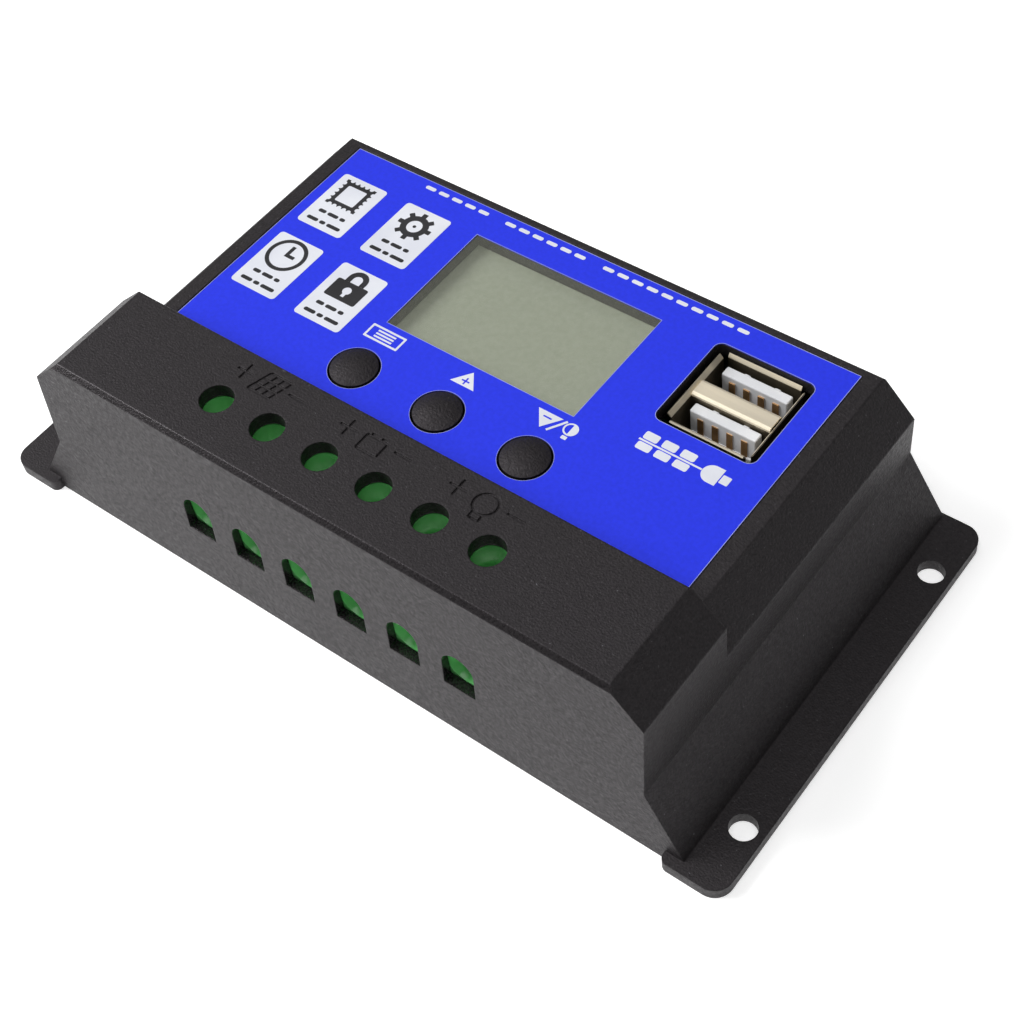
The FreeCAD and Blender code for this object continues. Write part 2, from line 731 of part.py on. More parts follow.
def button(index, name):
    x, y = button_x(index), "-button_y"
    stem_low = "board_z + board_thick + switch_high + press_room"
    rim = rod(f"rim_{name}", x, y, "button_rim_z", "button_rim_z + 1.1", "button_rim")
    barrel = rod(f"barrel_{name}", x, y, "button_rim_z", "panel_z + button_rise - button_crown", "button_rad")
    cap_ball = doc.addObject("Part::Sphere", f"crown_ball_{name}")
    crown_radius = "((button_rad * button_rad + button_crown * button_crown) / (2 * button_crown))"
    bind(cap_ball, "Radius", crown_radius)
    place(cap_ball, x, y, f"panel_z + button_rise - {crown_radius}")
    trim = rod(f"crown_trim_{name}", x, y, "panel_z + button_rise - button_crown",
               "panel_z + button_rise + 1",
               "button_rad")
    crown = doc.addObject("Part::Common", f"crown_{name}")
    crown.Base = cap_ball
    crown.Tool = trim
    cap = fuse(f"cap_{name}", [rim, barrel, crown])
    hollow_core = rod(f"cap_core_{name}", x, y, "button_rim_z - 1", "panel_z - 1.2", "button_rad - 1.3")
    node(cut(f"cap_body_{name}", cap, [hollow_core]), f"button_cap_{name}")

    plunger = fuse(f"plunger_rod_{name}", [
        rod(f"plunger_low_{name}", x, y, "board_z + board_thick + press_room + 0.6", "panel_z - 1.2",
            "plunger_rad"),
        rod(f"plunger_foot_{name}", x, y, "board_z + board_thick + press_room + 0.6", f"{stem_low} - 1.05",
            "plunger_rad + 0.5"),
    ])
    node(plunger, f"switch_plunger_{name}")

    half = "switch_side / 2"
    floor = "board_z + board_thick"
    case = box(f"switch_block_{name}", f"{x} - {half}", f"{x} + {half}", f"{y} - {half}", f"{y} + {half}",
               floor,
               f"{floor} + switch_high - 0.3")
    well = rod(f"switch_well_{name}", x, y, f"{floor} + 0.4", f"{floor} + switch_high", "plunger_bore + 0.6")
    node(cut(f"switch_case_{name}", case, [well]), f"switch_case_{name}")
    cover = box(f"switch_plate_{name}", f"{x} - {half}", f"{x} + {half}", f"{y} - {half}", f"{y} + {half}",
                f"{floor} + switch_high - 0.3", f"{floor} + switch_high")
    ring = rod(f"switch_ring_{name}", x, y, f"{floor} + switch_high - 1", f"{floor} + switch_high + 1",
               "plunger_bore")
    node(cut(f"switch_cover_{name}", cover, [ring]), f"switch_cover_{name}")


# USB socket

def usb_socket():
    floor = "board_z + board_thick"
    outer = box("shell_outer", "shell_left", "shell_right", "shell_front_y", "shell_back_y", floor,
                "shell_top_z")
    inside = ("shell_left + shell_thick", "shell_right - shell_thick")
    front_port = box("front_port", *inside, "shell_front_y + shell_thick", "divider_front_y",
                     "socket_floor_z",
                     "shell_top_z + 1")
    back_port = box("back_port", *inside, "divider_back_y", "shell_back_y - shell_thick", "socket_floor_z",
                    "shell_top_z + 1")
    core = box("shell_core", *inside, "shell_front_y + shell_thick", "shell_back_y - shell_thick", "board_z",
               "socket_floor_z")
    fold = box("divider_fold", *inside, "divider_front_y + shell_thick", "divider_back_y - shell_thick",
               "board_z", "shell_top_z - shell_thick")
    corners = []
    for x in ("shell_left", "shell_right"):
        for y in ("shell_front_y", "shell_back_y"):
            corners.append(box(f"corner_{x}_{y}", f"{x} - 0.9", f"{x} + 0.9", f"{y} - 0.9", f"{y} + 0.9",
                               "socket_floor_z + 4", "shell_top_z + 1"))
    node(cut("shell", outer, [front_port, back_port, core, fold] + corners), "usb_shell")

    gap = 0.05
    block = box("insulator_block", f"{inside[0]} + {gap}", f"{inside[1]} - {gap}",
                f"shell_front_y + shell_thick + {gap}", f"shell_back_y - shell_thick - {gap}",
                f"{floor} + {gap}", f"socket_floor_z - {gap}")
    tongues = []
    contacts = []
    for name, back in (("front", "divider_front_y - 0.3"), ("back", "shell_back_y - shell_thick - 0.9")):
        tongues.append(box(f"tongue_{name}", "shell_left + tongue_side", "shell_right - tongue_side",
                           f"{back} - tongue_thick", back, "socket_floor_z - 1", "shell_top_z - tongue_down"))
        for i in range(4):
            x = f"(shell_left + shell_right) / 2 + ({i} - 1.5) * contact_pitch"
            y = f"{back} - tongue_thick"
            contacts.append(box(f"contact_{name}_{i}", f"{x} - contact_wide / 2", f"{x} + contact_wide / 2",
                                f"{y} - contact_thick", y, "socket_floor_z + 0.5",
                                "shell_top_z - tongue_down - contact_down"))
    node(fuse("insulator", [block] + tongues), "usb_insulator")
    node(group("contacts", contacts), "usb_contacts")


# Terminals

def terminal_block():
    floor = "board_z + board_thick"
    nose_front = "-cavity_front_y - nose_deep + nose_gap"
    block = fuse("block_solid", [
        box("block_body", "-block_half_x", "block_half_x", "-block_front_y", "-block_back_y", floor,
            "block_top_z"),
        box("block_nose", "-block_half_x", "block_half_x", nose_front, "-block_back_y",
            "nose_low_z + nose_gap", "nose_high_z - nose_gap"),
    ])
    tools = []
    for i in range(POLES):
        x = pole_x(i)
        tools += [
            rod(f"well_{i + 1}", x, "-access_y", "cell_top_z + 1.0", "block_top_z + 1", "well_rad"),
            rod(f"shank_way_{i + 1}", x, "-access_y", "cell_top_z - 0.5", "cell_top_z + 1.5", "shank_hole"),
            box(f"cell_{i + 1}", f"{x} - cell_half_x", f"{x} + cell_half_x", "-cell_front_y", "-cell_back_y",
                f"{floor} + 0.8", "cell_top_z"),
            bore(f"mouth_{i + 1}", x, "mouth_z", f"{nose_front} - 1", "-cell_front_y + 1", "mouth_rad"),
            funnel(f"mouth_funnel_{i + 1}", x, "mouth_z", nose_front, "funnel_deep", "funnel_rad",
                   "mouth_rad"),
            box(f"leg_way_{i + 1}", f"{x} - bar_half_x - 0.1", f"{x} + bar_half_x + 0.1",
                "-cell_back_y - bar_leg - 0.2",
                "-cell_back_y - 0.05", f"{floor} - 1", f"{floor} + 1"),
        ]
    node(cut("block", block, tools), "terminal_block")


def terminal_pole(index):
    x = pole_x(index)
    name = str(index + 1)
    head = rod(f"head_{name}", x, "-access_y", "head_low_z", "head_high_z", "head_rad")
    shank = rod(f"shank_{name}", x, "-access_y", "screw_tip_z", "head_low_z", "shank_rad")
    screw = fuse(f"screw_blank_{name}", [head, shank])
    slots = [
        box(f"slot_a_{name}", f"{x} - 1.9", f"{x} + 1.9", "-access_y - 0.35", "-access_y + 0.35",
            "head_high_z - 1.2", "head_high_z + 1"),
        box(f"slot_b_{name}", f"{x} - 0.35", f"{x} + 0.35", "-access_y - 1.9", "-access_y + 1.9",
            "head_high_z - 1.2", "head_high_z + 1"),
    ]
    node(cut(f"screw_{name}", screw, slots), f"terminal_screw_{name}")

    sleeve = box(f"cage_outer_{name}", f"{x} - cage_half_x", f"{x} + cage_half_x",
                 "-cage_front_y", "-cage_back_y", "cage_low_z", "cage_high_z")
    window = box(f"cage_window_{name}", f"{x} - cage_half_x + cage_wall", f"{x} + cage_half_x - cage_wall",
                 "-cage_front_y - 1", "-cage_back_y + 1", "cage_low_z + cage_floor",
                 "cage_high_z - cage_roof")
    thread = rod(f"cage_hole_{name}", x, "-access_y", "cage_high_z - cage_roof - 0.5", "cage_high_z + 1",
                 "cage_bore")
    node(cut(f"cage_{name}", sleeve, [window, thread]), f"terminal_cage_{name}")


def contact_bars():
    """One bent strip per pole: a bar above the wire, held by a leg soldered into the board."""
    bars = []
    for i in range(POLES):
        x = pole_x(i)
        sides = (f"{x} - bar_half_x", f"{x} + bar_half_x")
        top = box(f"bar_top_{i + 1}", *sides, "-cage_front_y + 0.6", "-cell_back_y - 0.1", "bar_low_z",
                  "bar_low_z + bar_thick")
        leg = box(f"bar_leg_{i + 1}", *sides, "-cell_back_y - 0.1 - bar_leg", "-cell_back_y - 0.1",
                  "board_z + board_thick", "bar_low_z")
        bars.append(fuse(f"bar_{i + 1}", [top, leg]))
    node(group("bars", bars), "terminal_bars")


# Board and the parts on it

def circuit_board():
    top = "board_z + board_thick"
    board = box("board_blank", "-board_x", "board_x", "-board_front_y", "board_back_y", "board_z", top)
    holes = [rod(f"board_hole_{i}", x, y, "board_z - 1", f"{top} + 1", "pilot_rad + 0.3")
             for i, (x, y) in enumerate(PILLARS)]
    node(cut("board", board, holes), "circuit_board")


def pan_screw(name, x, y, head_low, thread_high):
    """A screw driven upwards: flat round head below, thread above, cross slot in the head."""
    head_high = f"{head_low} + 1.6"
    head = rod(f"{name}_head", x, y, head_low, head_high, "screw_head")
    thread = rod(f"{name}_thread", x, y, head_high, thread_high, "screw_rad")
    cross = [
        box(f"{name}_cross_a", f"{x} - 1.4", f"{x} + 1.4", f"{y} - 0.3", f"{y} + 0.3", f"{head_low} - 1",
            f"{head_low} + 0.9"),
        box(f"{name}_cross_b", f"{x} - 0.3", f"{x} + 0.3", f"{y} - 1.4", f"{y} + 1.4", f"{head_low} - 1",
            f"{head_low} + 0.9"),
    ]
    return cut(name, fuse(f"{name}_blank", [head, thread]), cross)


def board_screws():
    screws = [pan_screw(f"board_screw_{i}", x, y, "board_z - 1.6", "board_z + board_thick + 6")
              for i, (x, y) in enumerate(PILLARS)]
    node(group("board_screws", screws), "board_screws")


def chip(name, x, y, half_x, half_y, high, legs, pitch):
    """A moulded package with its two rows of legs as separate solids in a second node."""
    floor = "board_z + board_thick"
    node(box(f"{name}_case", f"{x - half_x}", f"{x + half_x}", f"{y - half_y}", f"{y + half_y}",
             f"{floor} + 0.2",
             f"{floor} + {high}"), name)
    feet = []
    for i in range(legs):
        along = x + (i - (legs - 1) / 2) * pitch
        for side in (-1, 1):
            near_y = y + side * half_y
            far_y = near_y + side * 1.0
            feet.append(box(f"{name}_leg_{i}_{side + 1}", f"{along - 0.2}", f"{along + 0.2}",
                            f"{min(near_y, far_y)}", f"{max(near_y, far_y)}", floor, f"{floor} + 0.7"))
    node(group(f"{name}_feet", feet), f"{name}_legs")


CAPACITORS = ((-36.0, 2.0), (-36.0, 14.0), (-26.5, -9.0))
COIL = (33.0, -4.0)
BUZZER = (25.0, 4.5)
MOSFET_X = (-37.5, -22.5, -7.5, 7.5, 22.5, 37.5)


def capacitors():
    floor = "board_z + board_thick"
    cans = []
    bungs = []
    for i, (x, y) in enumerate(CAPACITORS):
        bungs.append(rod(f"bung_{i}", str(x), str(y), floor, f"{floor} + 0.8", "4.6"))
        can = rod(f"can_{i}", str(x), str(y), f"{floor} + 0.8", f"{floor} + 13", "5")
        score = box(f"can_score_{i}", f"{x} - 3", f"{x} + 3", f"{y} - 0.15", f"{y} + 0.15", f"{floor} + 12.8",
                    f"{floor} + 14")
        cans.append(cut(f"can_scored_{i}", can, [score]))
    node(group("cans", cans), "capacitor_cans")
    node(group("bungs", bungs), "capacitor_bungs")


def inductor():
    x, y = COIL
    floor = "board_z + board_thick"
    low = rod("coil_foot", str(x), str(y), floor, f"{floor} + 1.2", "5.5")
    drum = rod("coil_drum", str(x), str(y), f"{floor} + 1.2", f"{floor} + 6.8", "2.4")
    high = rod("coil_head", str(x), str(y), f"{floor} + 6.8", f"{floor} + 8", "5.5")
    node(fuse("coil_core", [low, drum, high]), "inductor_core")
    outer = rod("winding_outer", str(x), str(y), f"{floor} + 1.3", f"{floor} + 6.7", "4.9")
    inner = rod("winding_inner", str(x), str(y), f"{floor} + 1", f"{floor} + 7", "2.5")
    node(cut("winding", outer, [inner]), "inductor_winding")


def buzzer():
    x, y = BUZZER
    floor = "board_z + board_thick"
    can = rod("buzzer_can", str(x), str(y), floor, f"{floor} + 5", "3.0")
    hole = rod("buzzer_hole", str(x), str(y), f"{floor} + 4", f"{floor} + 6", "0.8")
    node(cut("buzzer_case", can, [hole]), "buzzer")


def crystal():
    floor = "board_z + board_thick"
    can = box("crystal_box", "2", "13", "-12.2", "-8.2", floor, f"{floor} + 3.5")
    rounded = doc.addObject("Part::Fillet", "crystal_can")
    rounded.Base = can
    doc.recompute()
    uprights = [n for n, edge in enumerate(can.Shape.Edges, start=1) if near(edge.BoundBox.ZLength, 3.5)]
    rounded.Edges = [(n, 1.9, 1.9) for n in uprights]
    node(rounded, "crystal_can")


def fuses():
    """Two blade fuses beside the terminals, each a moulded case over two blades."""
    floor = "board_z + board_thick"
    cases = []
    blades = []
    for i, x in enumerate((-42.0, 39.0)):
        y = -24.0
        cases.append(box(f"fuse_case_{i}", f"{x - 2}", f"{x + 2}", f"{y - 5}", f"{y + 5}", f"{floor} + 6",
                         f"{floor} + 14"))
        for side in (-1, 1):
            blade_y = y + side * 3.2
            blades.append(box(f"fuse_blade_{i}_{side + 1}", f"{x - 0.4}", f"{x + 0.4}", f"{blade_y - 1.2}",
                              f"{blade_y + 1.2}", floor, f"{floor} + 6"))
    node(group("fuse_cases", cases), "fuse_cases")
    node(group("fuse_blades", blades), "fuse_blades")


def shunt():
    floor = "board_z + board_thick"
    bridge = box("shunt_bridge", "-16", "-4", "-14.5", "-11.5", floor, f"{floor} + 5")
    under = box("shunt_under", "-14.8", "-5.2", "-15", "-11", "board_z", f"{floor} + 3.8")
    node(cut("shunt_strip", bridge, [under]), "shunt_strip")


def power_stage():
    """Power transistors under the board, pressed on a spreader block through thin pads."""
    cases = []
    tabs = []
    pads = []
    top = "board_z"
    for i, x in enumerate(MOSFET_X):
        tab_low = "spreader_z + pad_thick"
        tabs.append(box(f"mosfet_tab_{i}", f"{x - 5}", f"{x + 5}", "14", "22", tab_low, f"{tab_low} + 0.8"))
        cases.append(box(f"mosfet_case_{i}", f"{x - 5}", f"{x + 5}", "14", "22", f"{tab_low} + 0.8", top))
        pads.append(box(f"mosfet_pad_{i}", f"{x - 5.5}", f"{x + 5.5}", "13.5", "22.5", "spreader_z", tab_low))
    node(group("mosfet_cases", cases), "mosfet_cases")
    node(group("mosfet_tabs", tabs), "mosfet_tabs")
    node(group("mosfet_pads", pads), "mosfet_pads")
    node(box("spreader", "-44", "44", "10", "26", "plate_thick", "spreader_z"), "heat_spreader")


# Underside

def bottom_plate():
    plate = box("plate_blank", "-plate_x", "plate_x", "-plate_front_y", "plate_back_y", "0", "plate_thick")
    tools = []
    for i, (x, y) in enumerate(PLATE_SCREWS):
        tools.append(rod(f"plate_hole_{i}", x, y, "-1", "plate_thick + 1", "plate_hole"))
        tools.append(taper(f"plate_sink_{i}", x, y, "-0.01", "sink_deep", "screw_head + 0.25", "plate_hole"))
    node(cut("plate", plate, tools), "bottom_plate")


PLATE_SCREWS = [
    ("boss_x", "boss_back_y"),
    ("boss_x", "-boss_front_y"),
    ("-boss_x", "boss_back_y"),
    ("-boss_x", "-boss_front_y"),
]


def plate_screws():
    screws = []
    for i, (x, y) in enumerate(PLATE_SCREWS):
        head = taper(f"plate_screw_head_{i}", x, y, "0.1", "sink_deep", "screw_head", "screw_rad")
        thread = rod(f"plate_screw_thread_{i}", x, y, "sink_deep", "plate_thick + 8", "screw_rad")
        cross = [
            box(f"plate_cross_a_{i}", f"{x} - 1.4", f"{x} + 1.4", f"{y} - 0.3", f"{y} + 0.3", "-1", "0.9"),
            box(f"plate_cross_b_{i}", f"{x} - 0.3", f"{x} + 0.3", f"{y} - 1.4", f"{y} + 1.4", "-1", "0.9"),
        ]
        screws.append(cut(f"plate_screw_{i}", fuse(f"plate_screw_blank_{i}", [head, thread]), cross))
    node(group("plate_screws", screws), "plate_screws")


top_housing()
panel_film()
display()
display_pins()
for number, label in enumerate(BUTTONS):
    button(number, label)
usb_socket()
terminal_block()
for number in range(POLES):
    terminal_pole(number)
contact_bars()
circuit_board()
board_screws()
chip("controller_chip", 12.0, 18.0, 5.0, 5.0, 1.4, 11, 0.8)
chip("driver_chip", -10.0, 18.0, 4.0, 2.4, 1.6, 7, 1.0)
capacitors()
inductor()
buzzer()
crystal()
fuses()
shunt()
power_stage()
bottom_plate()
plate_screws()
doc.recompute()

for thing in doc.Objects:
    if "Invalid" in thing.State or "Error" in thing.State:
        raise RuntimeError(f"{thing.Name} failed: {thing.State}")
os.makedirs("parts", exist_ok=True)
for part in nodes:
    if part.Shape.isNull() or not part.Shape.isValid():
        raise RuntimeError(f"{part.Label} has no valid shape")
    part.Shape.exportStep(f"parts/{part.Label}.step")
print(len(nodes), "nodes written")
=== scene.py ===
import json
import math

import bmesh
import bpy
from mathutils import Matrix, Vector


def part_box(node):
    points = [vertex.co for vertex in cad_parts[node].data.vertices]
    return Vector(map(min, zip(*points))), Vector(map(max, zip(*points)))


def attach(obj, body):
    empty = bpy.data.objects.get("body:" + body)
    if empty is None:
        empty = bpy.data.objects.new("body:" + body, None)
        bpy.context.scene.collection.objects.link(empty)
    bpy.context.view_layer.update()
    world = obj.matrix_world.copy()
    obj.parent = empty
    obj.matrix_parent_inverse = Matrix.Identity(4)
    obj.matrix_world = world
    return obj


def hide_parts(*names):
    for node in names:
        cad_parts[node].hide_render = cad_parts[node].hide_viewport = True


# A solar charge controller seen from above its front right corner. Every size is in metres, in the
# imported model's own frame. Printed marks are given in millimetres on the panel and scaled once.

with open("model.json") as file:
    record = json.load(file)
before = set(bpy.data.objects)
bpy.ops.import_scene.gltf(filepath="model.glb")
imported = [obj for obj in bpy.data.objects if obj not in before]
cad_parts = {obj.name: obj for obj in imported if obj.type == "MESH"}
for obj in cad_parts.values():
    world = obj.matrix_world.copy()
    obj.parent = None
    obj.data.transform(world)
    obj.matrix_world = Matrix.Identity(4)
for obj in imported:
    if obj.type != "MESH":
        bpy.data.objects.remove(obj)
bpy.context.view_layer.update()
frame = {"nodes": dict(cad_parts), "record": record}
scene = bpy.context.scene

MM = 0.001
PRINT_THICK = 0.02 * MM
PRINT_GAP = 0.01 * MM

# The cable slots lie in front of this Y, below this Z and within this X of the middle
SLOTS_BEFORE = -34.5 * MM
SLOTS_BELOW = 20.0 * MM
SLOTS_WITHIN = 50.0 * MM


# Camera

def make_camera(target, azimuth, elevation, roll, distance, lens):
    """A camera on a sphere round target, angles in degrees.

    Azimuth 0 looks along +Y, and roll turns the camera about its own axis.
    """
    azimuth, elevation, roll = (math.radians(angle) for angle in (azimuth, elevation, roll))
    away = Vector((
        math.sin(azimuth) * math.cos(elevation),
        -math.cos(azimuth) * math.cos(elevation),
        math.sin(elevation),
    ))
    data = bpy.data.cameras.new("camera")
    data.lens = lens
    data.sensor_width = 36.0
    data.clip_start = 0.01
    camera = bpy.data.objects.new("camera", data)
    place = Matrix.Translation(target + distance * away)
    look = (-away).to_track_quat("-Z", "Y").to_matrix().to_4x4()
    camera.matrix_world = place @ look @ Matrix.Rotation(roll, 4, "Z")
    scene.collection.objects.link(camera)
    scene.camera = camera


# Floor and light

def make_floor():
    """A wide sheet of pale paper that gives off a little light."""
    mesh = bpy.data.meshes.new("floor")
    reach = 3.0
    corners = [(-reach, -reach, 0), (reach, -reach, 0), (reach, reach, 0), (-reach, reach, 0)]
    mesh.from_pydata(corners, [], [(0, 1, 2, 3)])
    floor = bpy.data.objects.new("floor", mesh)
    scene.collection.objects.link(floor)
    paper = Surface("studio_paper", roughness=0.9)
    paper.mottle((0.93, 0.93, 0.93), (0.96, 0.96, 0.96), 30)
    paper.shader.inputs["Emission Color"].default_value = (1.0, 1.0, 1.0, 1.0)
    paper.shader.inputs["Emission Strength"].default_value = 0.5
    mesh.materials.append(paper.material)


def make_light(name, place, size, power):
    """A square soft light that faces the object."""
    data = bpy.data.lights.new(name, "AREA")
    data.shape = "SQUARE"
    data.size = size
    data.energy = power
    light = bpy.data.objects.new(name, data)
    light.location = place
    light.rotation_euler = (-Vector(place)).to_track_quat("-Z", "Y").to_euler()
    scene.collection.objects.link(light)


def make_studio():
    """A dim white sky, a key light at the front left, and fainter lights above and behind."""
    world = bpy.data.worlds.new("studio")
    world.use_nodes = True
    sky = world.node_tree.nodes["Background"]
    sky.inputs["Color"].default_value = (1.0, 1.0, 1.0, 1.0)
    sky.inputs["Strength"].default_value = 0.10
    scene.world = world
    make_light("key", place=(-0.95, -0.45, 0.85), size=0.7, power=16.4)
    make_light("top", place=(0.15, -0.2, 1.1), size=0.8, power=4.6)
    make_light("back", place=(-0.7, 0.75, 1.2), size=1.3, power=2.2)
    scene.view_settings.view_transform = "Standard"


# Materials

class Surface:
    """A Principled material with procedural colour, roughness and relief, all in object space."""

    def __init__(self, name, roughness=0.5, metallic=0.0, **sockets):
        self.material = bpy.data.materials.new(name)
        self.material.use_nodes = True
        self.nodes = self.material.node_tree.nodes
        self.links = self.material.node_tree.links
        self.shader = self.nodes["Principled BSDF"]
        self.shader.inputs["Roughness"].default_value = roughness
        self.shader.inputs["Metallic"].default_value = metallic
        for label, amount in sockets.items():
            self.shader.inputs[label.replace("_", " ")].default_value = amount
        self.coordinates = self.nodes.new("ShaderNodeTexCoord")

    def noise(self, scale, detail=3.0, stretch=(1, 1, 1)):
        """Noise from 0 to 1 in object space; a stretch under 1 draws it out along that axis."""
        mapping = self.nodes.new("ShaderNodeMapping")
        mapping.inputs["Scale"].default_value = stretch
        self.links.new(self.coordinates.outputs["Object"], mapping.inputs["Vector"])
        texture = self.nodes.new("ShaderNodeTexNoise")
        texture.inputs["Scale"].default_value = scale
        texture.inputs["Detail"].default_value = detail
        self.links.new(mapping.outputs["Vector"], texture.inputs["Vector"])
        return texture.outputs["Fac"]

    def mottle(self, dark, light, scale, stretch=(1, 1, 1), fleck=None):
        """Colour that wanders between dark and light, with rare small flecks of a third colour."""
        ramp = self.nodes.new("ShaderNodeValToRGB")
        steps = ramp.color_ramp.elements
        steps[0].position = 0.35
        steps[0].color = (*dark, 1)
        steps[1].position = 0.65
        steps[1].color = (*light, 1)
        if fleck:
            steps.new(0.72).color = (*light, 1)
            steps.new(0.77).color = (*fleck, 1)
        self.links.new(self.noise(scale, stretch=stretch), ramp.inputs["Fac"])
        self.links.new(ramp.outputs["Color"], self.shader.inputs["Base Color"])
        return self

    def gloss(self, low, high, scale, stretch=(1, 1, 1)):
        """Roughness that wanders between low and high."""
        spread = self.nodes.new("ShaderNodeMapRange")
        spread.inputs["From Min"].default_value = 0.3
        spread.inputs["From Max"].default_value = 0.7
        spread.inputs["To Min"].default_value = low
        spread.inputs["To Max"].default_value = high
        self.links.new(self.noise(scale, stretch=stretch), spread.inputs["Value"])
        self.links.new(spread.outputs["Result"], self.shader.inputs["Roughness"])
        return self

    def maths(self, operation, first, second):
        """The result of one maths node; first is a socket, second a socket or a number."""
        made = self.nodes.new("ShaderNodeMath")
        made.operation = operation
        self.links.new(first, made.inputs[0])
        if isinstance(second, (int, float)):
            made.inputs[1].default_value = second
        else:
            self.links.new(second, made.inputs[1])
        return made.outputs["Value"]

    def facing(self, direction):
        """1 on the faces that look along direction, 0 on the others."""
        product = self.nodes.new("ShaderNodeVectorMath")
        product.operation = "DOT_PRODUCT"
        product.inputs[1].default_value = Vector(direction).normalized()
        self.links.new(self.coordinates.outputs["Normal"], product.inputs[0])
        return self.maths("GREATER_THAN", product.outputs["Value"], 0.95)

    def cable_slot_walls(self):
        """1 on the walls of the cable slots and the bottom edge below them, 0 elsewhere."""
        place = self.nodes.new("ShaderNodeSeparateXYZ")
        self.links.new(self.coordinates.outputs["Object"], place.inputs["Vector"])
        normal = self.nodes.new("ShaderNodeSeparateXYZ")
        self.links.new(self.coordinates.outputs["Normal"], normal.inputs["Vector"])
        along = self.maths("GREATER_THAN", normal.outputs["Y"], -0.3)
        in_wall = self.maths("LESS_THAN", place.outputs["Y"], SLOTS_BEFORE)
        low = self.maths("LESS_THAN", place.outputs["Z"], SLOTS_BELOW)
        near = self.maths("LESS_THAN", self.maths("ABSOLUTE", place.outputs["X"], 0.0), SLOTS_WITHIN)
        in_wall = self.maths("MULTIPLY", along, in_wall)
        return self.maths("MULTIPLY", in_wall, self.maths("MULTIPLY", low, near))

    def smoother(self, mask, roughness):
        """Another roughness where mask is 1, called after gloss."""
        blend = self.nodes.new("ShaderNodeMix")
        blend.inputs["B"].default_value = roughness
        self.links.new(mask, blend.inputs["Factor"])
        self.links.new(self.shader.inputs["Roughness"].links[0].from_socket, blend.inputs["A"])
        self.links.new(blend.outputs["Result"], self.shader.inputs["Roughness"])
        return self

    def flatter(self, mask, share):
        """Takes a share of the relief away where mask is 1, called after relief."""
        left = self.maths("ADD", self.maths("MULTIPLY", mask, -share), 1.0)
        self.links.new(left, self.nodes["Bump"].inputs["Strength"])
        return self

    def relief(self, scale, height, edge=0.0):
        """Small bumps, height in metres, over edges that look rounded by the radius edge."""
        bump = self.nodes.new("ShaderNodeBump")
        bump.inputs["Strength"].default_value = 1.0
        bump.inputs["Distance"].default_value = height
        self.links.new(self.noise(scale, detail=2.0), bump.inputs["Height"])
        self.links.new(bump.outputs["Normal"], self.shader.inputs["Normal"])
        if edge:
            round_edge = self.nodes.new("ShaderNodeBevel")
            round_edge.inputs["Radius"].default_value = edge
            self.links.new(round_edge.outputs["Normal"], bump.inputs["Normal"])
        return self


def moulded(name, dark, light, low=0.42, high=0.62, grain=3000, height=0.1 * MM, edge=0.0):
    """Spark-textured moulded plastic, with rare pale flecks in its colour as painted glints of the texture.
    """
    surface = Surface(name, Specular_Tint=(1.0, 0.93, 0.98, 1.0), Specular_IOR_Level=0.43)
    # The rare pale flecks are painted glints of the spark texture
    surface.mottle(dark, light, grain * 0.75, fleck=(0.12, 0.12, 0.13))
    return surface.gloss(low, high, grain * 0.5).relief(grain, height, edge=edge)


def smooth_plastic(name, dark, light, roughness=0.3):
    """Plain moulded or printed plastic with a faint ripple."""
    surface = Surface(name).mottle(dark, light, 120)
    return surface.gloss(roughness - 0.06, roughness + 0.08, 400).relief(700, 0.004 * MM)


def metal(name, dark, light, roughness=0.28, stretch=(1, 1, 1)):
    """Bare or plated metal; stretch gives it a rolled or drawn grain."""
    surface = Surface(name, metallic=1.0).mottle(dark, light, 260, stretch)
    return surface.gloss(roughness - 0.08, roughness + 0.14, 500, stretch).relief(900, 0.0015 * MM)


def housing_plastic():
    """The housing's spark texture, but smoother on the cover's front chamfer and in the cable slots."""
    surface = moulded("spark_black", (0.009, 0.008, 0.0085), (0.019, 0.017, 0.018), edge=0.3 * MM)
    chamfer = surface.facing((0, -1, 1))
    slot_walls = surface.cable_slot_walls()
    surface.smoother(chamfer, 0.27).smoother(slot_walls, 0.12)
    return surface.flatter(surface.maths("ADD", chamfer, slot_walls), 0.65)


def printed_film():
    """The panel's blue print."""
    surface = Surface("print_blue", Specular_IOR_Level=0.4)
    surface.mottle((0.012, 0.031, 0.78), (0.015, 0.036, 0.85), 1500)
    return surface.gloss(0.34, 0.46, 1500).relief(3000, 0.003 * MM)


def clear_film():
    """The film's unprinted window: a thin haze over the display."""
    surface = Surface("clear_film", Alpha=0.14)
    surface.mottle((0.30, 0.31, 0.26), (0.36, 0.37, 0.31), 1200)
    return surface.gloss(0.25, 0.4, 1500).relief(2600, 0.002 * MM)


def polariser():
    """The display's grey-green front."""
    surface = Surface("polariser", Coat_Weight=0.4, Coat_Roughness=0.12)
    surface.mottle((0.385, 0.425, 0.315), (0.420, 0.460, 0.350), 900)
    return surface.gloss(0.30, 0.42, 900).relief(1800, 0.002 * MM)


